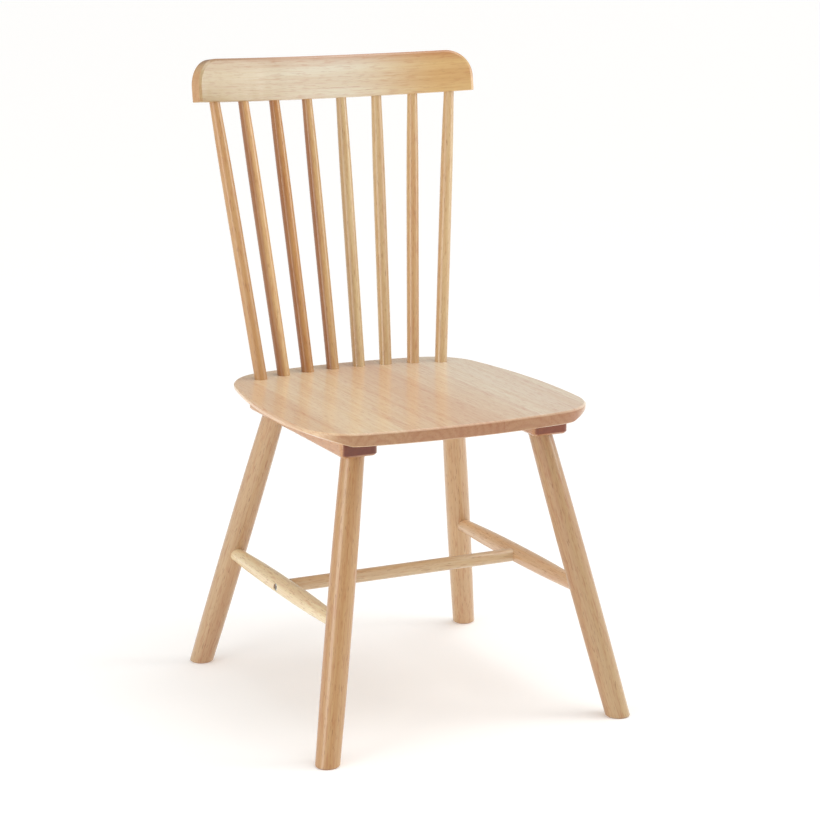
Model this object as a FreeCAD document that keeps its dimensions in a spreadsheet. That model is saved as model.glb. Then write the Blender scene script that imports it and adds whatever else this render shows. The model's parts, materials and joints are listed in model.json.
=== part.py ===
import FreeCAD, Part
import Sketcher
import math
import os

# Dining chair with a spindle back, in millimetres.
# Z is up, the chair faces -Y, X = 0 is its plane of symmetry and the floor is Z = 0.

Vector = FreeCAD.Vector
Rotation = FreeCAD.Rotation
Placement = FreeCAD.Placement

touching = 0.01     # largest distance at which two points or levels count as the same
fullTurn = 360
bevelTurn = 45      # angle that a bevel under the seat is swept through, past the end of its cut

# Driving dimensions
driving = {
    # Seat board
    "seatTopHeight": 440,           # floor to the top of the seat
    "seatThickness": 18,            # glued-up seat board
    "seatWidth": 436.5,             # widest place of the seat
    "seatDepth": 443,               # front edge to back edge on the centre line
    "seatFrontY": -232.4,           # front edge of the seat on the centre line
    "seatWidestFromFront": 159,     # front edge to the widest place
    "seatFrontBow": 1000,           # radius of the bowed front edge
    "seatSideBow": 930,             # radius of the bowed side edges
    "seatBackBow": 760,             # radius of the bowed back edge
    "seatFrontCorner": 81,          # radius of the front corners in plan
    "seatBackCorner": 82,           # radius of the back corners in plan
    "seatTopEase": 2.5,             # chamfer of the upper edge
    "seatLowerEase": 1.5,           # chamfer of the lower edge
    "seatBevelRun": 25,             # side edge to the inner end of the bevel under it
    "seatBevelRise": 11.5,          # height of the bevel at the side edge
    "seatBevelSweep": 400,          # radius of the line on which the bevel leaves the side for the front edge
    # Battens under the seat
    "battenThickness": 21,          # height of a batten
    "battenWidth": 54,              # width of a batten
    "battenSideInset": 73.25,       # side edge of the seat to the middle of a batten
    "battenSetback": 40,            # seat front edge to the front end of a batten
    "battenCorner": 8,              # rounding of the upright corners
    "battenLowerEase": 3,           # chamfer of the lower edges
    # Legs
    "legInward": 2.5,               # middle of a batten to a leg under it, towards the centre plane
    "legTopInset": 30,              # end of the batten to the middle of a leg
    "legTopSpacing": 272.5,         # front leg to rear leg along the batten
    "frontLegOutSplay": 11.4,       # outward lean of a front leg, degrees
    "rearLegOutSplay": 11.15,       # outward lean of a rear leg, degrees
    "frontLegSplay": 12.9,          # forward lean of a front leg, degrees
    "rearLegSplay": 15.7,           # backward lean of a rear leg, degrees
    "legTopDiameter": 32.2,         # leg under the batten
    "legMiddleDiameter": 36,        # straight part of the leg round the stretcher
    "legFootDiameter": 33.8,        # leg at the floor
    "legStraightLength": 50,        # straight part with the stretcher in its middle
    "legTopStraight": 8,            # straight end under the batten
    "legFootStraight": 10,          # straight end at the floor
    "legTenonDiameter": 24,         # tenon through the batten
    "footEase": 2,                  # chamfer of the foot
    # Stretchers
    "stretcherUpLeg": 188.6,        # floor to the side stretcher, along the leg
    "sideStretcherDiameter": 25.8,  # side stretcher at its middle
    "sideStraightLength": 32,       # straight middle of a side stretcher
    "sideTenonDiameter": 20,        # side stretcher where it enters a leg
    "sideTenonLength": 22,          # straight end of a side stretcher
    "sideTenonFromAxis": 2,         # leg axis to the end of the tenon
    "crossStretcherDiameter": 19,   # cross stretcher
    "crossSeatDepth": 2.5,          # flat seat of the cross stretcher in the side stretcher
    # Bolts that draw the cross stretcher tight
    "boltHeadDiameter": 11,         # head of the bolt
    "boltHeadHeight": 3,            # height of the head
    "boltSocketWidth": 4,           # hexagon socket across its flats
    "boltSocketDepth": 2,           # depth of the hexagon socket
    "boltShankDiameter": 6,         # shank of the bolt
    "boltShankLength": 32,          # shank under the head
    "boltHeadRecess": 5,            # stretcher surface to the seat of the head
    # Spindles
    "spindlePairs": 4,              # spindles on each side of the centre line
    "spindleSetback": 32,           # seat back edge to the row of spindles on the centre line
    "spindleRowRadius": 447,        # radius of the row of spindles on the seat
    "spindleSeatStep": 5.44,        # angle from one spindle to the next on the seat, degrees
    "spindleCrestStep": 6.75,       # angle from one spindle to the next in the crest rail, degrees
    "spindleRake": 10.7,            # backward lean of the row on the centre line, degrees
    "spindleDiameter": 18.4,        # straight part of a spindle
    "spindleTopDiameter": 15.3,     # spindle under the crest rail
    "spindleTaperLength": 150,      # crest rail to the start of the taper
    "spindleTopStraight": 6,        # straight end under the crest rail
    "spindleSocketDepth": 12,       # depth of a socket in the seat, along the spindle
    "spindleTenonDiameter": 12,     # tenon in the crest rail
    "spindleTenonLength": 24,       # length of the tenon
    # Crest rail
    "crestUndersideHeight": 831.5,  # floor to the underside of the rail on the centre line
    "crestTilt": 8.8,               # backward tilt of the rail, degrees
    "crestRadius": 467.5,           # bend of the rail at half its thickness
    "crestHalfAngle": 28.2,         # half of the angle that the rail spans, degrees
    "crestThickness": 19,           # thickness of the rail
    "crestHeight": 62.5,            # height of the rail
    "crestCrown": 2,                # fall of the top edge from the centre line to the ends
    "crestCorner": 40,              # radius of the upper corners
    "crestUpperEase": 3,            # chamfer along the top and the ends
    "crestLowerEase": 1,            # chamfer along the underside
    # Fits
    "glueGap": 0.15,                # play round a glued tenon
    "boltGap": 0.5,                 # play round a bolt
}

doc = FreeCAD.newDocument("chair")
sizes = doc.addObject("Spreadsheet::Sheet", "Sizes")
for row, (alias, value) in enumerate(driving.items(), start=1):
    sizes.set("A" + str(row), alias)
    sizes.set("B" + str(row), str(value))
    sizes.setAlias("B" + str(row), alias)
doc.recompute()


def size(alias):
    """Value of a driving dimension."""
    return float(sizes.get(alias))


def tangent(alias):
    return math.tan(math.radians(size(alias)))


def originPlane(body, role):
    return next(item for item in body.Origin.OriginFeatures if item.Role == role)


def makeBody(label):
    body = doc.addObject("PartDesign::Body", label)
    body.Label = label
    return body


def makeSketch(body, name, role):
    """Sketch on one of the origin planes of a body."""
    sketch = body.newObject("Sketcher::SketchObject", name)
    sketch.AttachmentSupport = (originPlane(body, role), "")
    sketch.MapMode = "FlatFace"
    return sketch


def bind(sketch, name, constraint, formula):
    """Add a dimension to a sketch and tie it to the sheet."""
    index = sketch.addConstraint(constraint)
    sketch.renameConstraint(index, name)
    sketch.setExpression("Constraints." + name, formula)


def frameAt(point, direction):
    """Placement at a point whose Z axis points along a direction."""
    return Placement(point, Rotation(Vector(0, 0, 1), direction))


def attachInside(body, feature, worldPlacement):
    """Hold a primitive of a body at a place given in the frame of the chair."""
    feature.AttachmentSupport = (originPlane(body, "XY_Plane"), "")
    feature.MapMode = "FlatFace"
    feature.AttachmentOffset = body.Placement.inverse().multiply(worldPlacement)


def makeBore(body, name, worldPlacement, radiusFormula, depthFormula):
    """Cut a round bore that starts at a placement and runs along its Z axis."""
    before = body.Shape.Volume
    bore = body.newObject("PartDesign::SubtractiveCylinder", name)
    attachInside(body, bore, worldPlacement)
    bore.setExpression("Radius", radiusFormula)
    bore.setExpression("Height", depthFormula)
    doc.recompute()
    if body.Shape.Volume >= before:
        raise ValueError(body.Label + ": " + name + " cuts nothing")
    return bore


def trimBeyond(body, name, point, normal, extent):
    """Cut a body off at a plane, on the side that the normal points to."""
    cutter = body.newObject("PartDesign::SubtractiveBox", name)
    corner = frameAt(point, normal).multiply(Placement(Vector(-extent / 2, -extent / 2, 0), Rotation()))
    attachInside(body, cutter, corner)
    cutter.Length = extent
    cutter.Width = extent
    cutter.Height = extent
    doc.recompute()
    return cutter


def edgeNames(feature, accept):
    """Names of the edges that a test on the edge accepts."""
    edges = feature.Shape.Edges
    return ["Edge" + str(number + 1) for number, edge in enumerate(edges) if accept(edge)]


def roundEdges(body, name, accept, radiusFormula):
    """Round the edges of the newest feature of a body that a test accepts."""
    base = body.Tip
    names = edgeNames(base, accept)
    if not names:
        raise ValueError(body.Label + ": " + name + " finds no edge")
    fillet = body.newObject("PartDesign::Fillet", name)
    fillet.Base = (base, names)
    fillet.setExpression("Radius", radiusFormula)
    doc.recompute()
    return fillet


def chamferEdges(body, name, accept, sizeFormula):
    """Chamfer the edges of the newest feature of a body that a test accepts."""
    base = body.Tip
    names = edgeNames(base, accept)
    if not names:
        raise ValueError(body.Label + ": " + name + " finds no edge")
    chamfer = body.newObject("PartDesign::Chamfer", name)
    chamfer.Base = (base, names)
    chamfer.setExpression("Size", sizeFormula)
    doc.recompute()
    return chamfer


def flatAt(edge, height):
    """Whether an edge lies in the level plane at a height, in the frame of its feature."""
    box = edge.BoundBox
    return abs(box.ZMin - height) < touching and abs(box.ZMax - height) < touching


def turn(body, sketch, name):
    """Turn a half profile once round the upright axis of its sketch."""
    turning = body.newObject("PartDesign::Revolution", name)
    turning.Profile = sketch
    turning.ReferenceAxis = (sketch, ["V_Axis"])
    turning.Angle = fullTurn
    doc.recompute()
    return turning


def drawOutline(sketch, corners, swells=()):
    """Closed outline through corners of (x, y, formula of x, formula of y).

    A run is numbered by the corner it leaves. A swell is a pair of runs: the first is an arc, and
    the second is the straight run beside it that it joins without a corner.
    """
    points = [Vector(corner[0], corner[1], 0) for corner in corners]
    count = len(points)
    first = sketch.GeometryCount
    partners = dict(swells)
    for number in range(count):
        start = points[number]
        end = points[(number + 1) % count]
        if number in partners:
            smooth = start if partners[number] < number else end
            other = end if partners[number] < number else start
            through = (start + end) / 2 + Vector((smooth.x - other.x) / 4, 0, 0)
            sketch.addGeometry(Part.Arc(start, through, end), False)
        else:
            sketch.addGeometry(Part.LineSegment(start, end), False)
    smoothJoints = [tuple(sorted(pair)) for pair in swells]
    for number in range(count):
        following = (number + 1) % count
        kind = "Tangent" if (number, following) in smoothJoints else "Coincident"
        sketch.addConstraint(Sketcher.Constraint(kind, first + number, 2, first + following, 1))
    for number, (x, y, xFormula, yFormula) in enumerate(corners):
        line = first + number
        placeOn(sketch, line, "DistanceX", x, xFormula, "x" + str(number))
        placeOn(sketch, line, "DistanceY", y, yFormula, "y" + str(number))


def placeOn(sketch, line, kind, value, formula, name):
    """Tie the start of a line to one coordinate, or to the axis where that coordinate is 0."""
    if abs(value) < 1e-9:
        axis = -2 if kind == "DistanceX" else -1
        sketch.addConstraint(Sketcher.Constraint("PointOnObject", line, 1, axis))
    elif value > 0:
        bind(sketch, name, Sketcher.Constraint(kind, -1, 1, line, 1, value), formula)
    else:
        bind(sketch, name, Sketcher.Constraint(kind, line, 1, -1, 1, -value), "-(" + formula + ")")


def seatLevels():
    """Heights of the seat's underside and of the battens' underside."""
    underside = size("seatTopHeight") - size("seatThickness")
    return underside, underside - size("battenThickness")


def makeSeat():
    """Board with four bowed edges, rounded corners and eased edges."""
    body = makeBody("seat")
    underside = seatLevels()[0]
    body.Placement.Base = Vector(0, size("seatFrontY"), underside)
    sketch = makeSketch(body, "seatOutline", "XY_Plane")
    halfWidth = size("seatWidth") / 2
    depth = size("seatDepth")
    front = (Vector(0, size("seatFrontBow"), 0), size("seatFrontBow"))
    back = (Vector(0, depth - size("seatBackBow"), 0), size("seatBackBow"))
    sideCentre = Vector(halfWidth - size("seatSideBow"), size("seatWidestFromFront"), 0)
    side = (sideCentre, size("seatSideBow"))
    frontCorner = meetingPoint(front, side, lower=True)
    backCorner = meetingPoint(back, side, lower=False)
    mirrored = lambda point: Vector(-point.x, point.y, 0)
    runs = (
        (mirrored(frontCorner), Vector(0, 0, 0), frontCorner),
        (frontCorner, Vector(halfWidth, sideCentre.y, 0), backCorner),
        (backCorner, Vector(0, depth, 0), mirrored(backCorner)),
        (mirrored(backCorner), Vector(-halfWidth, sideCentre.y, 0), mirrored(frontCorner)),
    )
    for start, through, end in runs:
        sketch.addGeometry(Part.Arc(start, through, end), False)
    for number in range(len(runs)):
        following = (number + 1) % len(runs)
        joinArcs(sketch, number, following, runs[number][2])
    for number in (0, 2):
        sketch.addConstraint(Sketcher.Constraint("PointOnObject", number, 3, -2))
    radii = ("seatFrontBow", "seatSideBow", "seatBackBow", "seatSideBow")
    for number, alias in enumerate(radii):
        rule = Sketcher.Constraint("Radius", number, size(alias))
        bind(sketch, "bow" + str(number), rule, "Sizes." + alias)
    rule = Sketcher.Constraint("DistanceY", -1, 1, 0, 3, size("seatFrontBow"))
    bind(sketch, "frontPlace", rule, "Sizes.seatFrontBow")
    rule = Sketcher.Constraint("DistanceY", 2, 3, -1, 1, size("seatBackBow") - depth)
    bind(sketch, "backPlace", rule, "Sizes.seatBackBow - Sizes.seatDepth")
    for number, sign in ((1, 1), (3, -1)):
        rule = Sketcher.Constraint("DistanceY", -1, 1, number, 3, sideCentre.y)
        bind(sketch, "widest" + str(number), rule, "Sizes.seatWidestFromFront")
        pair = (number, 3, -1, 1) if sign > 0 else (-1, 1, number, 3)
        rule = Sketcher.Constraint("DistanceX", *pair, -sideCentre.x)
        bind(sketch, "sidePlace" + str(number), rule, "Sizes.seatSideBow - Sizes.seatWidth / 2")
    board = body.newObject("PartDesign::Pad", "seatBoard")
    board.Profile = sketch
    board.setExpression("Length", "Sizes.seatThickness")
    doc.recompute()
    middleY = depth / 2
    upright = lambda edge: edge.BoundBox.ZLength > size("seatThickness") / 2
    atFront = lambda edge: upright(edge) and edge.BoundBox.YMax < middleY
    atBack = lambda edge: upright(edge) and edge.BoundBox.YMin > middleY
    roundEdges(body, "seatFrontCorners", atFront, "Sizes.seatFrontCorner")
    roundEdges(body, "seatBackCorners", atBack, "Sizes.seatBackCorner")
    chamferEdges(body, "seatLowerEdge", lambda edge: flatAt(edge, 0), "Sizes.seatLowerEase")
    onTop = lambda edge: flatAt(edge, size("seatThickness"))
    chamferEdges(body, "seatUpperEdge", onTop, "Sizes.seatTopEase")
    for name, side in (("right", 1), ("left", -1)):
        bevelSide(body, name + "BackBevel", side, "seatSideBow", False)
        bevelSide(body, name + "FrontBevel", side, "seatBevelSweep", True)
    for number, (foot, direction, head) in enumerate(spindleLines()):
        start = foot - direction * size("spindleSocketDepth")
        radius = "Sizes.spindleDiameter / 2 + Sizes.glueGap"
        makeBore(body, "spindleSocket" + str(number + 1), frameAt(start, direction),
                 radius, "Sizes.spindleSocketDepth * 2")
    return body


def bevelSide(body, name, side, sweepAlias, forward):
    """Bevel under a side edge, swept on an arc from the widest place of the seat to its front or back."""
    sketch = makeSketch(body, name + "Profile", "XZ_Plane")
    sketch.AttachmentOffset = Placement(Vector(0, 0, -size("seatWidestFromFront")), Rotation())
    edge = size("seatWidth") / 2
    run = size("seatBevelRun")
    rise = size("seatBevelRise")
    inner = side * (edge - run)
    outer = side * (edge + run)
    innerFormula = str(side) + " * (Sizes.seatWidth / 2 - Sizes.seatBevelRun)"
    outerFormula = str(side) + " * (Sizes.seatWidth / 2 + Sizes.seatBevelRun)"
    drawOutline(sketch, (
        (inner, 0, innerFormula, "0"),
        (outer, 0, outerFormula, "0"),
        (outer, 2 * rise, outerFormula, "2 * Sizes.seatBevelRise"),
    ))
    axisX = side * (edge - size(sweepAlias))
    foot = Vector(axisX, 0, 0)
    axis = sketch.addGeometry(Part.LineSegment(foot, foot + Vector(0, 2 * rise, 0)), True)
    sketch.addConstraint(Sketcher.Constraint("Vertical", axis))
    placeOn(sketch, axis, "DistanceY", 0, "0", "axisFoot")
    axisFormula = str(side) + " * (Sizes.seatWidth / 2 - Sizes." + sweepAlias + ")"
    placeOn(sketch, axis, "DistanceX", axisX, axisFormula, "axisPlace")
    before = body.Shape.Volume
    groove = body.newObject("PartDesign::Groove", name)
    groove.Profile = sketch
    groove.ReferenceAxis = (sketch, ["Axis0"])
    groove.Angle = bevelTurn
    groove.Reversed = forward == (side > 0)
    doc.recompute()
    if body.Shape.Volume >= before:
        raise ValueError(name + " cuts nothing")


def meetingPoint(flatArc, sideArc, lower):
    """Corner on the +X side where the front or back arc meets the side arc."""
    flatCentre, flatRadius = flatArc
    sideCentre, sideRadius = sideArc
    between = sideCentre - flatCentre
    distance = between.Length
    along = (distance ** 2 + flatRadius ** 2 - sideRadius ** 2) / (2 * distance)
    across = math.sqrt(flatRadius ** 2 - along ** 2)
    unit = between / distance
    normal = Vector(-unit.y, unit.x, 0)
    found = [flatCentre + unit * along + normal * (across * sign) for sign in (1, -1)]
    found = [point for point in found if point.x > 0]
    return min(found, key=lambda point: point.y) if lower else max(found, key=lambda point: point.y)


def joinArcs(sketch, first, second, point):
    """Make two arcs of a sketch share the end that lies at a point."""
    corners = []
    for number in (first, second):
        atStart = sketch.Geometry[number].StartPoint.distanceToPoint(point) < touching
        corners.append(1 if atStart else 2)
    sketch.addConstraint(Sketcher.Constraint("Coincident", first, corners[0], second, corners[1]))


def crestFrame():
    """Place of the rail: origin under its middle, Y to the back and Z up its face."""
    rise = size("crestUndersideHeight") - size("seatTopHeight")
    rowY = size("seatFrontY") + size("seatDepth") - size("spindleSetback")
    origin = Vector(0, rowY + rise * tangent("spindleRake"), size("crestUndersideHeight"))
    return Placement(origin, Rotation(Vector(1, 0, 0), -size("crestTilt")))


def onRow(radius, angle):
    """Point at an angle on an arc whose middle is the origin and whose hollow side is the front."""
    turn = math.radians(angle)
    return Vector(radius * math.sin(turn), radius * math.cos(turn) - radius, 0)


def spindleLines():
    """Foot on the seat, direction and head in the rail of every spindle, from left to right."""
    rail = crestFrame()
    rowY = size("seatFrontY") + size("seatDepth") - size("spindleSetback")
    rowMiddle = Vector(0, rowY, size("seatTopHeight"))
    pairs = int(size("spindlePairs"))
    lines = []
    for number in range(2 * pairs):
        step = number - pairs + 0.5
        foot = rowMiddle + onRow(size("spindleRowRadius"), step * size("spindleSeatStep"))
        head = rail.multVec(onRow(size("crestRadius"), step * size("spindleCrestStep")))
        direction = (head - foot).normalize()
        lines.append((foot, direction, head))
    return lines


def makeSpindle(number, foot, direction, head):
    """Tapered spindle with its lower end in the seat and a round tenon in the rail."""
    length = (head - foot).Length
    label = "spindle_" + str(number)
    spare = size("spindleTopDiameter") / 2
    body = makeBody(label)
    sketch = makeSketch(body, label + "Profile", "XZ_Plane")
    thick = size("spindleDiameter") / 2
    thin = size("spindleTopDiameter") / 2
    below = -size("spindleSocketDepth")
    drawOutline(sketch, (
        (0, below, "0", "-Sizes.spindleSocketDepth"),
        (thick, below, "Sizes.spindleDiameter / 2", "-Sizes.spindleSocketDepth"),
        (thick, length - size("spindleTaperLength"),
         "Sizes.spindleDiameter / 2", str(length) + " - Sizes.spindleTaperLength"),
        (thin, length - size("spindleTopStraight"),
         "Sizes.spindleTopDiameter / 2", str(length) + " - Sizes.spindleTopStraight"),
        (thin, length + spare, "Sizes.spindleTopDiameter / 2", str(length + spare)),
        (0, length + spare, "0", str(length + spare)),
    ), swells=[(2, 1)])
    turn(body, sketch, label + "Turning")
    body.Placement = frameAt(foot, direction)
    railUp = crestFrame().Rotation.multVec(Vector(0, 0, 1))
    trimBeyond(body, label + "Shoulder", head, railUp, 2 * size("spindleTopDiameter"))
    tenon = body.newObject("PartDesign::AdditiveCylinder", label + "Tenon")
    attachInside(body, tenon, frameAt(head - direction * spare, direction))
    tenon.setExpression("Radius", "Sizes.spindleTenonDiameter / 2")
    tenon.setExpression("Height", "Sizes.spindleTenonLength + Sizes.spindleTopDiameter / 2")
    doc.recompute()
    return body


def makeCrest():
    """Bent rail with rounded upper corners and a blind socket for every spindle."""
    body = makeBody("crest_rail")
    body.Placement = crestFrame()
    sketch = makeSketch(body, "crestSection", "XY_Plane")
    radius = size("crestRadius")
    half = size("crestThickness") / 2
    span = size("crestHalfAngle")
    centre = Vector(0, -radius, 0)
    ends = {}
    for name, bend in (("front", radius - half), ("back", radius + half)):
        points = [centre + arcPoint(bend, angle) for angle in (span, 0, -span)]
        sketch.addGeometry(Part.Arc(*points), False)
        ends[name] = points
    sketch.addGeometry(Part.LineSegment(ends["front"][0], ends["back"][0]), False)
    sketch.addGeometry(Part.LineSegment(ends["back"][2], ends["front"][2]), False)
    joinLine(sketch, 0, 2, 1, ends["front"][0])
    joinLine(sketch, 1, 2, 2, ends["back"][0])
    joinLine(sketch, 1, 3, 1, ends["back"][2])
    joinLine(sketch, 0, 3, 2, ends["front"][2])
    sketch.addConstraint(Sketcher.Constraint("PointOnObject", 0, 3, -2))
    sketch.addConstraint(Sketcher.Constraint("Coincident", 1, 3, 0, 3))
    rule = Sketcher.Constraint("DistanceY", 0, 3, -1, 1, radius)
    bind(sketch, "bend", rule, "Sizes.crestRadius")
    rule = Sketcher.Constraint("Radius", 0, radius - half)
    bind(sketch, "frontFace", rule, "Sizes.crestRadius - Sizes.crestThickness / 2")
    rule = Sketcher.Constraint("Radius", 1, radius + half)
    bind(sketch, "backFace", rule, "Sizes.crestRadius + Sizes.crestThickness / 2")
    for line, end in ((2, ends["front"][0]), (3, ends["front"][2])):
        corner = 1 if line == 2 else 2
        sketch.addConstraint(Sketcher.Constraint("PointOnObject", 0, 3, line))
        reach = abs(end.x)
        pair = (-1, 1, line, corner) if end.x > 0 else (line, corner, -1, 1)
        rule = Sketcher.Constraint("DistanceX", *pair, reach)
        formula = "(Sizes.crestRadius - Sizes.crestThickness / 2) * sin(Sizes.crestHalfAngle * 1deg)"
        bind(sketch, "halfSpan" + str(line), rule, formula)
    board = body.newObject("PartDesign::Pad", "crestBoard")
    board.Profile = sketch
    board.setExpression("Length", "Sizes.crestHeight")
    doc.recompute()
    crownTop(body)
    height = size("crestHeight")
    atEnds = lambda edge: isUpperEnd(edge, height, (radius - half) * math.sin(math.radians(span)))
    roundEdges(body, "crestCorners", atEnds, "Sizes.crestCorner")
    isLower = lambda edge: flatAt(edge, 0)
    alongFaces = lambda edge: not isLower(edge) and follows(edge, centre, (radius - half, radius + half))
    chamferEdges(body, "crestEdges", alongFaces, "Sizes.crestUpperEase")
    chamferEdges(body, "crestUnderside", isLower, "Sizes.crestLowerEase")
    for number, (foot, direction, head) in enumerate(spindleLines()):
        end = head + direction * size("spindleTenonLength")
        makeBore(body, "crestSocket" + str(number + 1), frameAt(end, -direction),
                 "Sizes.spindleTenonDiameter / 2 + Sizes.glueGap", "Sizes.spindleTenonLength * 2")
    return body


def isUpperEnd(edge, height, reach):
    """Whether an edge crosses the top of the rail at one of its ends."""
    box = edge.BoundBox
    high = box.ZMin > height / 2
    outside = box.XMin > reach - touching or box.XMax < touching - reach
    return high and outside


def crownTop(body):
    """Shape the top edge of the rail to a slight arch."""
    sketch = makeSketch(body, "crestArch", "XZ_Plane")
    height = size("crestHeight")
    crown = size("crestCrown")
    half = size("crestThickness") / 2
    reach = (size("crestRadius") + half) * math.sin(math.radians(size("crestHalfAngle"))) + half
    right = Vector(reach, height - crown, 0)
    left = Vector(-reach, height - crown, 0)
    spareHeight = 3
    lift = Vector(0, spareHeight * crown, 0)
    sketch.addGeometry(Part.Arc(right, Vector(0, height, 0), left), False)
    sketch.addGeometry(Part.LineSegment(left, left + lift), False)
    sketch.addGeometry(Part.LineSegment(left + lift, right + lift), False)
    sketch.addGeometry(Part.LineSegment(right + lift, right), False)
    joinLine(sketch, 0, 1, 1, left)
    joinLine(sketch, 0, 3, 2, right)
    sketch.addConstraint(Sketcher.Constraint("Coincident", 1, 2, 2, 1))
    sketch.addConstraint(Sketcher.Constraint("Coincident", 2, 2, 3, 1))
    sketch.addConstraint(Sketcher.Constraint("Vertical", 1))
    sketch.addConstraint(Sketcher.Constraint("Vertical", 3))
    sketch.addConstraint(Sketcher.Constraint("Horizontal", 2))
    sketch.addConstraint(Sketcher.Constraint("Symmetric", 1, 1, 3, 2, -2))
    sketch.addConstraint(Sketcher.Constraint("DistanceX", -1, 1, 3, 2, reach))
    rule = Sketcher.Constraint("DistanceY", -1, 1, 3, 2, height - crown)
    bind(sketch, "endHeight", rule, "Sizes.crestHeight - Sizes.crestCrown")
    rule = Sketcher.Constraint("DistanceY", 1, 1, 1, 2, spareHeight * crown)
    bind(sketch, "lift", rule, str(spareHeight) + " * Sizes.crestCrown")
    apex = sketch.addGeometry(Part.Point(Vector(0, height, 0)), True)
    sketch.addConstraint(Sketcher.Constraint("PointOnObject", apex, 1, 0))
    sketch.addConstraint(Sketcher.Constraint("PointOnObject", apex, 1, -2))
    rule = Sketcher.Constraint("DistanceY", -1, 1, apex, 1, height)
    bind(sketch, "apexHeight", rule, "Sizes.crestHeight")
    before = body.Shape.Volume
    pocket = body.newObject("PartDesign::Pocket", "crestCrownCut")
    pocket.Profile = sketch
    pocket.Type = "ThroughAll"
    pocket.SideType = "Symmetric"
    doc.recompute()
    if body.Shape.Volume >= before:
        raise ValueError("the crown cuts nothing")


def arcPoint(radius, angle):
    """Point on a circle round the origin, with the angle counted from +Y towards +X."""
    turn = math.radians(angle)
    return Vector(radius * math.sin(turn), radius * math.cos(turn), 0)


def joinLine(sketch, arc, line, lineEnd, point):
    """Make an arc and a line of a sketch share the end that lies at a point."""
    atStart = sketch.Geometry[arc].StartPoint.distanceToPoint(point) < touching
    arcEnd = 1 if atStart else 2
    sketch.addConstraint(Sketcher.Constraint("Coincident", arc, arcEnd, line, lineEnd))


def follows(edge, centre, radii):
    """Whether an edge runs on one of two upright cylinders round a centre."""
    first, last = edge.ParameterRange
    samples = [edge.valueAt(first + (last - first) * share) for share in (0.1, 0.5, 0.9)]
    for radius in radii:
        gaps = [abs(math.hypot(point.x - centre.x, point.y - centre.y) - radius) for point in samples]
        if max(gaps) < touching:
            return True
    return False


def battenMiddle():
    """Distance from the centre plane to the middle of a batten."""
    return size("seatWidth") / 2 - size("battenSideInset")


def legLine(side, end):
    """Point on the floor, direction and top of a leg; side is 1 or -1, end is front or rear."""
    battenFace = seatLevels()[1]
    frontY = size("seatFrontY") + size("battenSetback") + size("legTopInset")
    topY = frontY if end == "front" else frontY + size("legTopSpacing")
    lean = -tangent("frontLegSplay") if end == "front" else tangent("rearLegSplay")
    top = Vector(side * (battenMiddle() - size("legInward")), topY, battenFace)
    drop = Vector(side * tangent(end + "LegOutSplay"), lean, -1) * battenFace
    foot = top + drop
    return foot, (top - foot).normalize(), top


def makeLeg(label, side, end):
    """Barrel-shaped leg, cut level at the floor and under the batten, with a tenon on top."""
    foot, direction, top = legLine(side, end)
    underside = seatLevels()[0]
    length = (top - foot).Length
    spare = size("legMiddleDiameter") / 2
    cutterWidth = 3 * size("legMiddleDiameter")
    joint = size("stretcherUpLeg")
    halfStraight = size("legStraightLength") / 2
    footRadius = size("legFootDiameter") / 2
    middleRadius = size("legMiddleDiameter") / 2
    topRadius = size("legTopDiameter") / 2
    topFormula = str(length) + " - Sizes.legTopStraight"
    body = makeBody(label)
    sketch = makeSketch(body, label + "Profile", "XZ_Plane")
    drawOutline(sketch, (
        (0, -spare, "0", str(-spare)),
        (footRadius, -spare, "Sizes.legFootDiameter / 2", str(-spare)),
        (footRadius, size("legFootStraight"), "Sizes.legFootDiameter / 2", "Sizes.legFootStraight"),
        (middleRadius, joint - halfStraight,
         "Sizes.legMiddleDiameter / 2", "Sizes.stretcherUpLeg - Sizes.legStraightLength / 2"),
        (middleRadius, joint + halfStraight,
         "Sizes.legMiddleDiameter / 2", "Sizes.stretcherUpLeg + Sizes.legStraightLength / 2"),
        (topRadius, length - size("legTopStraight"), "Sizes.legTopDiameter / 2", topFormula),
        (topRadius, length + spare, "Sizes.legTopDiameter / 2", str(length + spare)),
        (0, length + spare, "0", str(length + spare)),
    ), swells=[(2, 3), (4, 3)])
    turn(body, sketch, label + "Turning")
    body.Placement = frameAt(foot, direction)
    trimBeyond(body, label + "Foot", foot, Vector(0, 0, -1), cutterWidth)
    trimBeyond(body, label + "Shoulder", top, Vector(0, 0, 1), cutterWidth)
    floorNormal = body.Placement.Rotation.inverted().multVec(Vector(0, 0, 1))
    onFloor = lambda edge: edge.Length > spare and abs(edge.CenterOfMass.dot(floorNormal)) < touching
    chamferEdges(body, label + "FootEdge", onFloor, "Sizes.footEase")
    tenon = body.newObject("PartDesign::AdditiveCylinder", label + "Tenon")
    attachInside(body, tenon, frameAt(top - direction * spare, direction))
    tenon.setExpression("Radius", "Sizes.legTenonDiameter / 2")
    tenon.setExpression("Height", "Sizes.battenThickness + Sizes.legMiddleDiameter")
    tenonTop = Vector(top.x, top.y, underside)
    trimBeyond(body, label + "TenonEnd", tenonTop, Vector(0, 0, 1), cutterWidth)
    near, far = stretcherLine(side)
    along = (far - near).normalize() if end == "front" else (near - far).normalize()
    centre = near if end == "front" else far
    start = centre + along * size("sideTenonFromAxis")
    makeBore(body, label + "Mortise", frameAt(start, along),
             "Sizes.sideTenonDiameter / 2 + Sizes.glueGap", "Sizes.legMiddleDiameter")
    return body


def stretcherLine(side):
    """Points where a side stretcher meets the axes of its front and rear legs."""
    points = []
    for end in ("front", "rear"):
        foot, direction, top = legLine(side, end)
        points.append(foot + direction * size("stretcherUpLeg"))
    return points


def boltLine(side):
    """Middle of a side stretcher and the level direction that points out of the chair."""
    near, far = stretcherLine(side)
    return (near + far) / 2, Vector(side, 0, 0)


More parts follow.
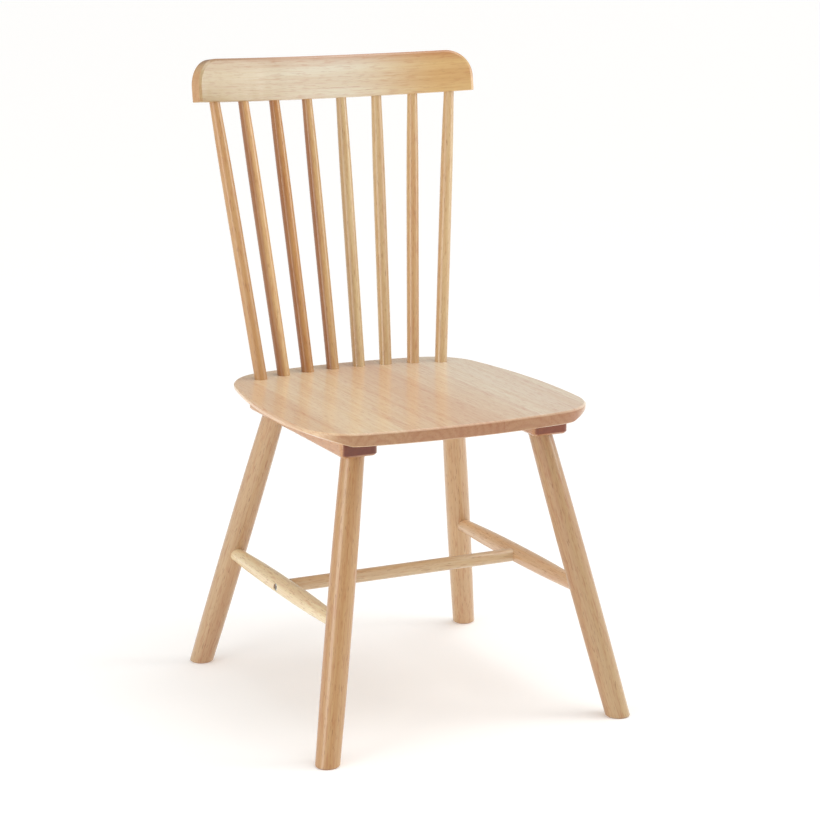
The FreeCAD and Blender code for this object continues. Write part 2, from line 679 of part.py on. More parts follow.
def headSeat(side):
    """Place where the head of a bolt bears in its side stretcher."""
    centre, outward = boltLine(side)
    return centre + outward * (size("sideStretcherDiameter") / 2 - size("boltHeadRecess"))


def makeSideStretcher(label, side):
    """Stretcher that swells to its middle, with the bolt hole and the round seat of the cross stretcher."""
    near, far = stretcherLine(side)
    length = (far - near).Length
    inset = size("sideTenonFromAxis")
    straight = inset + size("sideTenonLength")
    middle = length / 2
    halfStraight = size("sideStraightLength") / 2
    thick = size("sideStretcherDiameter") / 2
    thin = size("sideTenonDiameter") / 2
    farStart = str(length) + " - Sizes.sideTenonLength - Sizes.sideTenonFromAxis"
    body = makeBody(label)
    sketch = makeSketch(body, label + "Profile", "XZ_Plane")
    drawOutline(sketch, (
        (0, inset, "0", "Sizes.sideTenonFromAxis"),
        (thin, inset, "Sizes.sideTenonDiameter / 2", "Sizes.sideTenonFromAxis"),
        (thin, straight, "Sizes.sideTenonDiameter / 2", "Sizes.sideTenonFromAxis + Sizes.sideTenonLength"),
        (thick, middle - halfStraight,
         "Sizes.sideStretcherDiameter / 2", str(middle) + " - Sizes.sideStraightLength / 2"),
        (thick, middle + halfStraight,
         "Sizes.sideStretcherDiameter / 2", str(middle) + " + Sizes.sideStraightLength / 2"),
        (thin, length - straight, "Sizes.sideTenonDiameter / 2", farStart),
        (thin, length - inset, "Sizes.sideTenonDiameter / 2", str(length) + " - Sizes.sideTenonFromAxis"),
        (0, length - inset, "0", str(length) + " - Sizes.sideTenonFromAxis"),
    ), swells=[(2, 3), (4, 3)])
    turn(body, sketch, label + "Turning")
    body.Placement = frameAt(near, far - near)
    centre, outward = boltLine(side)
    surface = size("sideStretcherDiameter") / 2
    makeBore(body, label + "HeadHole", frameAt(headSeat(side), outward),
             "(Sizes.boltHeadDiameter + Sizes.boltGap) / 2", "Sizes.sideStretcherDiameter")
    flatSeat = centre - outward * (surface - size("crossSeatDepth"))
    makeBore(body, label + "CrossSeat", frameAt(flatSeat, -outward),
             "Sizes.crossStretcherDiameter / 2 + Sizes.glueGap", "Sizes.sideStretcherDiameter")
    makeBore(body, label + "ShankHole", frameAt(flatSeat, outward),
             "(Sizes.boltShankDiameter + Sizes.boltGap) / 2", "Sizes.sideStretcherDiameter")
    return body


def makeCrossStretcher():
    """Straight rod between the side stretchers, with a hole for a bolt in each end."""
    body = makeBody("cross_stretcher")
    left, outward = boltLine(-1)
    reach = abs(left.x) - size("sideStretcherDiameter") / 2 + size("crossSeatDepth")
    body.Placement = frameAt(Vector(0, left.y, left.z), Vector(1, 0, 0))
    rod = body.newObject("PartDesign::AdditiveCylinder", "crossRod")
    rod.AttachmentSupport = (originPlane(body, "XY_Plane"), "")
    rod.MapMode = "FlatFace"
    rod.AttachmentOffset = Placement(Vector(0, 0, -reach), Rotation())
    rod.setExpression("Radius", "Sizes.crossStretcherDiameter / 2")
    rod.Height = 2 * reach
    doc.recompute()
    for number, side in enumerate((-1, 1)):
        centre, outward = boltLine(side)
        shankEnd = headSeat(side) - outward * (size("boltShankLength") + size("boltGap"))
        makeBore(body, "boltHole" + str(number + 1), frameAt(shankEnd, outward),
                 "(Sizes.boltShankDiameter + Sizes.boltGap) / 2", "Sizes.boltShankLength * 2")
    return body


def battenFrame(side):
    """Place of a batten: the middle of its front end on its underside."""
    battenFace = seatLevels()[1]
    frontY = size("seatFrontY") + size("battenSetback")
    return Placement(Vector(side * battenMiddle(), frontY, battenFace), Rotation())


def makeBatten(label, side):
    """Batten that carries two legs and is glued under the seat."""
    body = makeBody(label)
    body.Placement = battenFrame(side)
    sketch = makeSketch(body, label + "Outline", "XY_Plane")
    half = size("battenWidth") / 2
    length = size("legTopSpacing") + 2 * size("legTopInset")
    corners = [Vector(-half, 0, 0), Vector(half, 0, 0), Vector(half, length, 0), Vector(-half, length, 0)]
    for number, corner in enumerate(corners):
        sketch.addGeometry(Part.LineSegment(corner, corners[(number + 1) % 4]), False)
    for number in range(4):
        sketch.addConstraint(Sketcher.Constraint("Coincident", number, 2, (number + 1) % 4, 1))
    for number, kind in enumerate(("Horizontal", "Vertical", "Horizontal", "Vertical")):
        sketch.addConstraint(Sketcher.Constraint(kind, number))
    sketch.addConstraint(Sketcher.Constraint("Symmetric", 0, 1, 0, 2, -1, 1))
    rule = Sketcher.Constraint("DistanceX", 0, 1, 0, 2, 2 * half)
    bind(sketch, "across", rule, "Sizes.battenWidth")
    rule = Sketcher.Constraint("DistanceY", 1, 1, 1, 2, length)
    bind(sketch, "along", rule, "Sizes.legTopSpacing + 2 * Sizes.legTopInset")
    bar = body.newObject("PartDesign::Pad", label + "Bar")
    bar.Profile = sketch
    bar.setExpression("Length", "Sizes.battenThickness")
    doc.recompute()
    upright = lambda edge: edge.BoundBox.ZLength > size("battenThickness") / 2
    roundEdges(body, label + "Corners", upright, "Sizes.battenCorner")
    chamferEdges(body, label + "LowerEdge", lambda edge: flatAt(edge, 0), "Sizes.battenLowerEase")
    for end in ("front", "rear"):
        foot, direction, top = legLine(side, end)
        start = top - direction * size("legTenonDiameter")
        makeBore(body, label + end.capitalize() + "Mortise", frameAt(start, direction),
                 "Sizes.legTenonDiameter / 2 + Sizes.glueGap",
                 "Sizes.legTenonDiameter * 2 + Sizes.battenThickness")
    return body


def spunSolid(outline):
    """Solid of revolution round the Z axis from (radius, height) corners, started on the axis."""
    points = [Vector(radius, 0, height) for radius, height in outline]
    wire = Part.makePolygon(points + points[:1])
    return Part.Face(wire).revolve(Vector(0, 0, 0), Vector(0, 0, 1), fullTurn)


def boltSolid():
    """Flat-headed bolt whose shank runs along Z from the underside of its head at the origin."""
    head = size("boltHeadDiameter") / 2
    shank = size("boltShankDiameter") / 2
    height = size("boltHeadHeight")
    length = size("boltShankLength")
    body = spunSolid([(0, -height), (head, -height), (head, 0), (shank, 0), (shank, length), (0, length)])
    sides = 6
    corner = size("boltSocketWidth") / 2 / math.cos(math.pi / sides)
    corners = [arcPoint(corner, fullTurn / sides * number) for number in range(sides)]
    socket = Part.Face(Part.makePolygon(corners + corners[:1])).extrude(Vector(0, 0, size("boltSocketDepth")))
    socket.translate(Vector(0, 0, -height))
    return body.cut(socket)


def makeGroup(label, solid, placements):
    """Identical pieces at several places, kept as separate solids of one node."""
    copies = []
    for placement in placements:
        copy = solid.copy()
        copy.Placement = placement
        copies.append(copy)
    group = doc.addObject("Part::Feature", label)
    group.Label = label
    group.Shape = Part.makeCompound(copies)
    group.Placement = Placement()
    return group


def makeBolts():
    """The two bolts of the cross stretcher."""
    places = [frameAt(headSeat(side), Vector(-side, 0, 0)) for side in (-1, 1)]
    return makeGroup("stretcher_bolts", boltSolid(), places)


def makeChair():
    """Every sub-part of the chair, in the order of its assembly."""
    pieces = [makeSeat()]
    for name, side in (("left", -1), ("right", 1)):
        pieces.append(makeBatten(name + "_batten", side))
        for end in ("front", "rear"):
            pieces.append(makeLeg(end + "_" + name + "_leg", side, end))
        pieces.append(makeSideStretcher(name + "_side_stretcher", side))
    pieces.append(makeCrossStretcher())
    for number, (foot, direction, head) in enumerate(spindleLines()):
        pieces.append(makeSpindle(number + 1, foot, direction, head))
    pieces.append(makeCrest())
    pieces.append(makeBolts())
    return pieces


def checkPieces(pieces):
    """Stop if any object failed or any shape is empty or broken."""
    doc.recompute()
    for item in doc.Objects:
        if "Invalid" in item.State or "Error" in item.State:
            raise ValueError(item.Name + " failed: " + str(item.State))
    for piece in pieces:
        if piece.Shape.isNull() or not piece.Shape.isValid():
            raise ValueError(piece.Label + " has a bad shape")
        if piece.isDerivedFrom("PartDesign::Body") and len(piece.Shape.Solids) != 1:
            raise ValueError(piece.Label + " isn't one solid")


chairPieces = makeChair()
checkPieces(chairPieces)
os.makedirs("parts", exist_ok=True)
for piece in chairPieces:
    piece.Shape.exportStep(os.path.join("parts", piece.Label + ".step"))
    print(piece.Label, len(piece.Shape.Solids), round(piece.Shape.Volume / 1000, 2), "cm3")
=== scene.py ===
import json
import math

import bmesh
import bpy
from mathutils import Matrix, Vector

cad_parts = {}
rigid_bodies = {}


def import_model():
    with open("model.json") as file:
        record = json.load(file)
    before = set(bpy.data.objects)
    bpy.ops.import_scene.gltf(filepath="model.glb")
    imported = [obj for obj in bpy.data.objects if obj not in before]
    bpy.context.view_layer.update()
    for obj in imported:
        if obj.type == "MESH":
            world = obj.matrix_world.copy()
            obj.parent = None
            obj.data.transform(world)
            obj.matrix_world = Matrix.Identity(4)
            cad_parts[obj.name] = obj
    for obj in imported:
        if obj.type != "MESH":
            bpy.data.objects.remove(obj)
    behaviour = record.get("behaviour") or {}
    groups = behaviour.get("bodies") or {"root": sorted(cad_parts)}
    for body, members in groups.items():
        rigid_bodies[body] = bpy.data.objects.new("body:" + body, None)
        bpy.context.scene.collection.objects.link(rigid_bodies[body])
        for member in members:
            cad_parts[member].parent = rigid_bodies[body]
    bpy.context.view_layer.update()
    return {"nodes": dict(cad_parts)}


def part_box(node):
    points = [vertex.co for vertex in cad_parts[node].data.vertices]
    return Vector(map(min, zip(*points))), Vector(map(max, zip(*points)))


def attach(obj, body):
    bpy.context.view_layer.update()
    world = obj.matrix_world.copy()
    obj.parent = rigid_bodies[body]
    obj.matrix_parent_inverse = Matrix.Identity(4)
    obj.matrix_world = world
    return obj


# A spindle-back dining chair of pale lacquered wood on a plain floor.
# Metres. Z is up, the chair faces -Y and X = 0 is its plane of symmetry.

for item in list(bpy.data.objects):
    bpy.data.objects.remove(item)

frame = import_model()


# Helpers


# Colour of a screen value from 0 to 255, as the shaders want it
def screenColour(red, green, blue):
    linear = []
    for value in (red, green, blue):
        share = value / 255
        linear.append(share / 12.92 if share <= 0.04045 else ((share + 0.055) / 1.055) ** 2.4)
    return (*linear, 1)


def addObject(name, data):
    made = bpy.data.objects.new(name, data)
    bpy.context.scene.collection.objects.link(made)
    return made


def emptyMaterial(name):
    material = bpy.data.materials.new(name)
    material.use_nodes = True
    material.node_tree.nodes.clear()
    return material


def setMaterial(node, material):
    for slot in frame["nodes"][node].material_slots:
        slot.material = material


# Shader node; an input is a plain value or the output that feeds it
def addNode(tree, kind, inputs=None, **settings):
    made = tree.nodes.new(kind)
    for name, value in settings.items():
        setattr(made, name, value)
    for key, value in (inputs or {}).items():
        if isinstance(value, bpy.types.NodeSocket):
            tree.links.new(value, made.inputs[key])
        else:
            made.inputs[key].default_value = value
    return made


def maths(tree, operation, *values):
    return addNode(tree, "ShaderNodeMath", dict(enumerate(values)), operation=operation).outputs[0]


def vectorMaths(tree, operation, *values):
    made = addNode(tree, "ShaderNodeVectorMath", dict(enumerate(values)), operation=operation)
    return made.outputs["Value" if operation in ("DOT_PRODUCT", "LENGTH") else "Vector"]


def mixColour(tree, share, first, second, blend="MIX"):
    inputs = {0: share, 6: first, 7: second}
    return addNode(tree, "ShaderNodeMix", inputs, data_type="RGBA", blend_type=blend).outputs[2]


# Value that rises smoothly from 0 to 1 between two levels of another value
def rise(tree, value, low, high):
    inputs = {"Value": value, "From Min": low, "From Max": high}
    made = addNode(tree, "ShaderNodeMapRange", inputs, interpolation_type="SMOOTHSTEP")
    return made.outputs["Result"]


# Noise that is fine across the grain and drawn out along it; cycles per metre
def grainNoise(tree, place, across, along, detail=2.0, roughness=0.5):
    scaled = vectorMaths(tree, "MULTIPLY", place, (across, across, along))
    inputs = {"Vector": scaled, "Scale": 1.0, "Detail": detail, "Roughness": roughness}
    return addNode(tree, "ShaderNodeTexNoise", inputs, noise_dimensions="3D").outputs["Fac"]


# Lacquered wood

woodLook = {
    "pale": screenColour(228, 207, 168),        # earlywood
    "honey": screenColour(212, 178, 128),       # latewood
    "pink": screenColour(198, 148, 110),        # warm stain along the grain
    "heartAndShade": screenColour(158, 104, 66),        # heartwood on one side of a piece, darkened with painted shade
    "fleck": screenColour(150, 98, 62),         # pores, cut lengthwise
    "end": screenColour(146, 92, 58),           # lacquer soaked into the end grain
    "pith": (0.085, 0.051, 0),                  # shift of a piece away from the middle of the rings
    "ringWidth": 0.0105,
    "ringWander": 0.018,
    "ringContrast": 2.0,                        # above 1, the latewood of a ring is narrow
    "ringShare": 0.18,                          # latewood that shows in a ring
    "ringShareFall": -0.02,                     # change of that on end grain
    "streakShare": 0.38,                        # latewood that shows in a fine streak
    "broadStain": 0.30,
    "bandStain": 0.30,
    "dashStain": 0.40,
    "soaked": 0.60,                             # darkening of end grain
    "soakedInRing": 0.08,
    "flecks": 0.60,                             # strength of the pores on the turned pieces
    "fleckDepth": 0.00005,
    "streakHeight": 0.35,                       # height of a streak against the depth of a pore
    "relief": 0.6,
    "roughness": 0.27,
    "streakRoughness": 0.14,
    "fleckRoughness": 0.12,
}

# Cycles per metre across and along the grain, detail and roughness of each pattern
woodPatterns = {
    "wander": (9, 1.6, 2, 0.5),
    "streak": (420, 7, 3, 0.6),
    "band": (70, 1.8, 3, 0.55),
    "broad": (11, 1.0, 1, 0.5),
    "fleck": (1000, 75, 1, 0.5),
    "dash": (430, 40, 2, 0.6),
}

# Levels of a pattern between which it comes to show in the colour
woodLevels = {
    "streak": (0.38, 0.66),
    "band": (0.46, 0.70),
    "broad": (0.36, 0.66),
    "fleck": (0.63, 0.72),
    "dash": (0.50, 0.70),
}

woodInputs = {
    "Place": "Vector",           # the grain runs along its Z
    "End": "Float",              # 1 where a face is end grain
    "WarmthAndShade": "Float",
    "HeartAndShade": "Float",            # share of heartwood and painted shade
    "Flecks": "Float",
    "Contrast": "Float",
    "Tint": "Color",
}

woodOutputs = {
    "Colour": "Color",
    "Roughness": "Float",
    "Height": "Float",
}


# Growth rings round the pith, from 0 to 1
def addRings(tree, place, wander):
    sideways = vectorMaths(tree, "MULTIPLY", place, (1, 1, 0))
    fromPith = vectorMaths(tree, "LENGTH", vectorMaths(tree, "ADD", sideways, woodLook["pith"]))
    bent = maths(tree, "MULTIPLY_ADD", wander, woodLook["ringWander"], fromPith)
    phase = maths(tree, "MULTIPLY", bent, 2 * math.pi / woodLook["ringWidth"])
    ring = maths(tree, "MULTIPLY_ADD", maths(tree, "SINE", phase), 0.5, 0.5)
    return maths(tree, "POWER", ring, woodLook["ringContrast"])


# Wood whose grain runs along Z of the place it is given
def makeWoodGroup():
    tree = bpy.data.node_groups.new("lacquered wood", "ShaderNodeTree")
    for name, kind in woodInputs.items():
        tree.interface.new_socket(name, in_out="INPUT", socket_type="NodeSocket" + kind)
    for name, kind in woodOutputs.items():
        tree.interface.new_socket(name, in_out="OUTPUT", socket_type="NodeSocket" + kind)
    given = addNode(tree, "NodeGroupInput").outputs

    pattern = {name: grainNoise(tree, given["Place"], *row) for name, row in woodPatterns.items()}
    shown = {name: rise(tree, pattern[name], *levels) for name, levels in woodLevels.items()}
    ring = addRings(tree, given["Place"], pattern["wander"])

    # Latewood in rings and streaks
    inRings = maths(tree, "MULTIPLY_ADD", given["End"], woodLook["ringShareFall"], woodLook["ringShare"])
    inRings = maths(tree, "MULTIPLY", ring, inRings)
    latewood = maths(tree, "MULTIPLY_ADD", shown["streak"], woodLook["streakShare"], inRings)
    latewood = maths(tree, "MULTIPLY", latewood, given["Contrast"])
    colour = mixColour(tree, latewood, woodLook["pale"], woodLook["honey"])

    # Warm stain, which on the crest rail also carries painted shade along its top
    stain = maths(tree, "MULTIPLY", shown["band"], woodLook["bandStain"])
    stain = maths(tree, "MULTIPLY_ADD", shown["broad"], woodLook["broadStain"], stain)
    stain = maths(tree, "MULTIPLY_ADD", shown["dash"], woodLook["dashStain"], stain)
    stain = maths(tree, "MULTIPLY", maths(tree, "ADD", stain, given["WarmthAndShade"]), given["Contrast"])
    colour = mixColour(tree, maths(tree, "MINIMUM", stain, 1.0), colour, woodLook["pink"])

    # Pores, heartwood with painted shade, end grain and the tint of the piece
    pores = maths(tree, "MULTIPLY", shown["fleck"], given["Flecks"])
    colour = mixColour(tree, pores, colour, woodLook["fleck"])
    colour = mixColour(tree, given["HeartAndShade"], colour, woodLook["heartAndShade"])
    soaked = maths(tree, "MULTIPLY_ADD", ring, woodLook["soakedInRing"], woodLook["soaked"])
    soaked = maths(tree, "MULTIPLY", given["End"], soaked)
    colour = mixColour(tree, soaked, colour, woodLook["end"])
    colour = mixColour(tree, 1.0, colour, given["Tint"], "MULTIPLY")

    # Surface of the lacquer
    roughness = maths(tree, "MULTIPLY_ADD", pattern["streak"], woodLook["streakRoughness"],
                      woodLook["roughness"])
    roughness = maths(tree, "MULTIPLY_ADD", shown["fleck"], woodLook["fleckRoughness"], roughness)
    height = maths(tree, "MULTIPLY_ADD", pattern["streak"], woodLook["streakHeight"],
                   maths(tree, "MULTIPLY", shown["fleck"], -1.0))
    addNode(tree, "NodeGroupOutput", {"Colour": colour, "Roughness": roughness, "Height": height})
    return tree


woodGroup = makeWoodGroup()


# Lacquered wood shader; the inputs are those of the wood group
def finishWood(material, inputs):
    tree = material.node_tree
    wood = addNode(tree, "ShaderNodeGroup", inputs, node_tree=woodGroup)
    bump = addNode(tree, "ShaderNodeBump", {
        "Height": wood.outputs["Height"],
        "Distance": woodLook["fleckDepth"],
        "Strength": woodLook["relief"],
    })
    shader = addNode(tree, "ShaderNodeBsdfPrincipled", {
        "Base Color": wood.outputs["Colour"],
        "Roughness": wood.outputs["Roughness"],
        "Normal": bump.outputs["Normal"],
        "IOR": 1.5,
        "Coat Weight": 0.5,
        "Coat Roughness": 0.17,
    })
    addNode(tree, "ShaderNodeOutputMaterial", {"Surface": shader.outputs["BSDF"]})


sanding = {
    "joined": 0.00002,       # points closer than this become one, so that faces share their borders
    "segments": 3,
    "angle": 25,             # edges that turn by more than this are rounded, degrees
}


# Rounds the sharp edges of a piece a little, as sanding does
def softenEdges(node, radius):
    piece = frame["nodes"][node]
    weld = piece.modifiers.new("joined borders", "WELD")
    weld.merge_threshold = sanding["joined"]
    soft = piece.modifiers.new("sanded edges", "BEVEL")
    soft.width = radius
    soft.segments = sanding["segments"]
    soft.limit_method = "ANGLE"
    soft.angle_limit = math.radians(sanding["angle"])
    soft.harden_normals = True


# Seat

seatLook = {
    "plankWidth": 0.073,
    "plankShift": 0.021,             # centre line to the first joint
    "plankSpread": (0.09, 0.12, 9.0),    # how far the pattern may shift from plank to plank
    "shift": (-0.13, -0.50, 0),      # brings the planks near the middle of the rings
    "warmthAndShade": -0.05,
    "warmthSpread": 0.30,
    "endGrain": (0.45, 0.9),         # how squarely a face meets the grain, from long to end grain
    "edge": 0.0012,
    "paintedGlare": (0.0, 0.17),            # X between which the planks get paler: painted glare on the lacquer at the right of the seat
    "flecks": 0.26,
    "contrast": 1.0,
    "tint": (1.14, 1.11, 1.17, 1),
    # tint of the right part of the seat, paler and less saturated: painted reflection of glare
    "rightLightShadeTint": (1.19, 1.38, 1.74, 1),
    "endTint": (0.95, 0.82, 0.70, 1),
}


# Board glued up from planks that run front to back, each with its own grain
def dressSeat():
    material = emptyMaterial("seat wood")
    tree = material.node_tree
    coordinates = addNode(tree, "ShaderNodeTexCoord")
    parts = addNode(tree, "ShaderNodeSeparateXYZ", {0: coordinates.outputs["Object"]}).outputs
    plank = maths(tree, "ADD", parts["X"], seatLook["plankShift"])
    plank = maths(tree, "DIVIDE", plank, seatLook["plankWidth"])
    number = maths(tree, "FLOOR", plank)
    chance = addNode(tree, "ShaderNodeTexWhiteNoise", {"W": number}, noise_dimensions="1D").outputs
    inPlank = maths(tree, "MULTIPLY", maths(tree, "FRACT", plank), seatLook["plankWidth"])
    local = addNode(tree, "ShaderNodeCombineXYZ", {"X": inPlank, "Y": parts["Z"], "Z": parts["Y"]})
    spread = vectorMaths(tree, "MULTIPLY", chance["Color"], seatLook["plankSpread"])
    place = vectorMaths(tree, "ADD", local.outputs["Vector"], spread)
    place = vectorMaths(tree, "ADD", place, seatLook["shift"])
    facing = vectorMaths(tree, "DOT_PRODUCT", coordinates.outputs["Normal"], (0, 1, 0))
    end = rise(tree, maths(tree, "ABSOLUTE", facing), *seatLook["endGrain"])
    warmthAndShade = maths(tree, "MULTIPLY_ADD", chance["Value"], seatLook["warmthSpread"], seatLook["warmthAndShade"])
    # Painted reflection: the planks turn paler towards the right, standing in for glare on the lacquer
    paintedGlare = rise(tree, parts["X"], *seatLook["paintedGlare"])
    tint = mixColour(tree, paintedGlare, seatLook["tint"], seatLook["rightLightShadeTint"])
    tint = mixColour(tree, end, tint, seatLook["endTint"])
    finishWood(material, {
        "Place": place,
        "End": end,
        "WarmthAndShade": warmthAndShade,
        "Flecks": seatLook["flecks"],
        "Contrast": seatLook["contrast"],
        "Tint": tint,
    })
    setMaterial("seat", material)
    softenEdges("seat", seatLook["edge"])


dressSeat()
print("seat done")


# Straight pieces

straightLook = {
    "seedStep": (0.013, 0.019, 0.71),    # shift of the pattern from one seed to the next
    "endGrain": (0.55, 0.95),        # how squarely a face meets the grain, from long to end grain
    "endBand": 0.02,                 # share of a piece's length that counts as its end
    "contrast": 1.0,
}

heartAndShadeLook = {
    "side": (-1, -0.25, 0),          # side of a piece that the darker heartwood and painted shade are on, the same for every piece
    "reach": (0.006, 0.0135),        # where it starts and where it is full, from the axis
    "pattern": (60, 5),              # cycles per metre of its border, across and along the grain
    "wander": 0.008,
}

# Axis that the grain follows, seed, warmth, heartwood with painted shade, and tint of each straight
# piece
straightPieces = {
    "front_left_leg": (2, 3, 0.12, 0, (0.75, 0.59, 0.44)),
    "front_right_leg": (2, 4, 0.12, 0, (0.76, 0.71, 0.62)),
    "rear_left_leg": (2, 5, 0.12, 0, (0.79, 0.72, 0.66)),
    "rear_right_leg": (2, 6, 0.12, 0, (0.89, 0.85, 0.78)),
    "left_side_stretcher": (1, 11, 0.0, 0, (1.14, 1.21, 1.22)),
    "right_side_stretcher": (1, 12, 0.0, 0, (0.90, 0.79, 0.75)),
    "cross_stretcher": (0, 17, 0.15, 0, (0.93, 0.96, 0.98)),
    "spindle_1": (2, 41, 0.30, 0.1, (0.85, 0.70, 0.50)),
    "spindle_2": (2, 42, 0.20, 0.85, (1.03, 0.93, 0.71)),
    "spindle_3": (2, 43, 0.40, 0.85, (0.90, 0.76, 0.47)),
    "spindle_4": (2, 44, 0.20, 0.85, (0.87, 0.75, 0.54)),
    "spindle_5": (2, 45, 0.05, 0.45, (0.92, 0.89, 0.76)),
    "spindle_6": (2, 46, 0.05, 0, (0.85, 0.77, 0.65)),
    "spindle_7": (2, 47, 0.30, 0, (0.98, 0.96, 0.80)),
    "spindle_8": (2, 48, 0.10, 0, (0.96, 0.92, 0.80)),
}

battenLook = {
    "axis": 1,
    "edge": 0.001,
    "warmthAndShade": 0.35,
    "tint": (0.82, 0.64, 0.52),
    # seed and tint of the lacquered end grain, darkened further with painted shade from the seat above
    "ends": {"left_batten": (31, (0.36, 0.12, 0.04)), "right_batten": (32, (0.52, 0.21, 0.08))},
}


# Middle of a node's vertices at one end of it, along a world axis
def endPoint(node, axis, high):
    low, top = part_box(node)
    band = (top[axis] - low[axis]) * straightLook["endBand"]
    edge = top[axis] if high else low[axis]
    near = [vertex.co for vertex in frame["nodes"][node].data.vertices
            if abs(vertex.co[axis] - edge) < band]
    return sum(near, Vector()) / len(near)


# Share of heartwood and painted shade, which lies on one side of a piece's axis
def heartAndShadeShare(tree, position, place, start, along, strength):
    side = Vector(heartAndShadeLook["side"])
    side = (side - along * side.dot(along)).normalized()
    offset = vectorMaths(tree, "SUBTRACT", position, tuple(start))
    across = vectorMaths(tree, "DOT_PRODUCT", offset, tuple(side))
    wander = grainNoise(tree, place, *heartAndShadeLook["pattern"])
    across = maths(tree, "MULTIPLY_ADD", wander, heartAndShadeLook["wander"], across)
    return maths(tree, "MULTIPLY", rise(tree, across, *heartAndShadeLook["reach"]), strength)


# Wood whose grain runs straight from one end of the piece to the other
def straightWood(node, axis, seed, warmthAndShade, heartAndShade, tint, endTint=None):
    start = endPoint(node, axis, False)
    along = (endPoint(node, axis, True) - start).normalized()
    material = emptyMaterial(node + " wood")
    tree = material.node_tree
    coordinates = addNode(tree, "ShaderNodeTexCoord").outputs
    mapping = addNode(tree, "ShaderNodeMapping", {
        "Vector": coordinates["Object"],
        "Location": start,
        "Rotation": along.to_track_quat("Z", "Y").to_euler(),
    }, vector_type="TEXTURE")
    shift = tuple(seed * step for step in straightLook["seedStep"])
    place = vectorMaths(tree, "ADD", mapping.outputs["Vector"], shift)
    facing = vectorMaths(tree, "DOT_PRODUCT", coordinates["Normal"], tuple(along))
    end = rise(tree, maths(tree, "ABSOLUTE", facing), *straightLook["endGrain"])
    # Heartwood with painted shade: the spindles darker on the same side of each
    if heartAndShade:
        heartAndShade = heartAndShadeShare(tree, coordinates["Object"], place, start, along, heartAndShade)
    tint = (*tint, 1)
    # On the battens the end tint is end grain darkened further with painted shade from the seat above
    if endTint:
        tint = mixColour(tree, end, tint, (*endTint, 1))
    finishWood(material, {
        "Place": place,
        "End": end,
        "WarmthAndShade": warmthAndShade,
        "HeartAndShade": heartAndShade,
        "Flecks": woodLook["flecks"],
        "Contrast": straightLook["contrast"],
        "Tint": tint,
    })
    setMaterial(node, material)


def dressStraightPieces():
    for name, (axis, seed, warmthAndShade, heartAndShade, tint) in straightPieces.items():
        straightWood(name, axis, seed, warmthAndShade, heartAndShade, tint)


def dressBattens():
    axis = battenLook["axis"]
    for name, (seed, endTint) in battenLook["ends"].items():
        straightWood(name, axis, seed, battenLook["warmthAndShade"], 0, battenLook["tint"], endTint)
        softenEdges(name, battenLook["edge"])


dressStraightPieces()
dressBattens()
print("legs, stretchers, spindles and battens done")


# Crest rail

crestLook = {
    "bendRadius": 0.4675,
    "tilt": 8.8,                     # degrees
    "edge": 0.0014,
    "endGrain": (0.5, 1.0),          # how squarely a face meets the grain, from long to end grain
    "endStrength": 0.7,
    "shadedTop": (0.050, 0.072),       # heights between which the wood turns warmer and darker: painted shade along the rounded top
    "shadedTopPattern": (26, 4),          # cycles per metre of that border, across and along the grain
    "shadedTopWander": 0.014,
    "topShade": 1.0,
    "flecks": 0.22,
    "contrast": 0.9,
    "leftLightShadePart": (-0.20, -0.02),      # places along the rail between which the tint changes: painted light and shade, paler in the middle and darker at the ends
    "rightLightShadePart": (0.02, 0.20),
    "leftLightShadeTint": (0.73, 0.75, 0.66, 1),
    "middleLightShadeTint": (1.09, 1.29, 1.66, 1),
    "rightLightShadeTint": (0.96, 0.82, 0.58, 1),
    "endTint": (1.20, 1.02, 0.80, 1),
}


# How squarely a face meets the grain of the bent rail, at an angle from its middle
def facingGrain(tree, normal, angle, tilt):
    backward = (0, math.cos(tilt), -math.sin(tilt))
    sideways = vectorMaths(tree, "DOT_PRODUCT", normal, (1, 0, 0))
    sideways = maths(tree, "MULTIPLY", sideways, maths(tree, "COSINE", angle))
    depth = vectorMaths(tree, "DOT_PRODUCT", normal, backward)
    depth = maths(tree, "MULTIPLY", depth, maths(tree, "SINE", angle))
    return maths(tree, "ABSOLUTE", maths(tree, "SUBTRACT", sideways, depth))


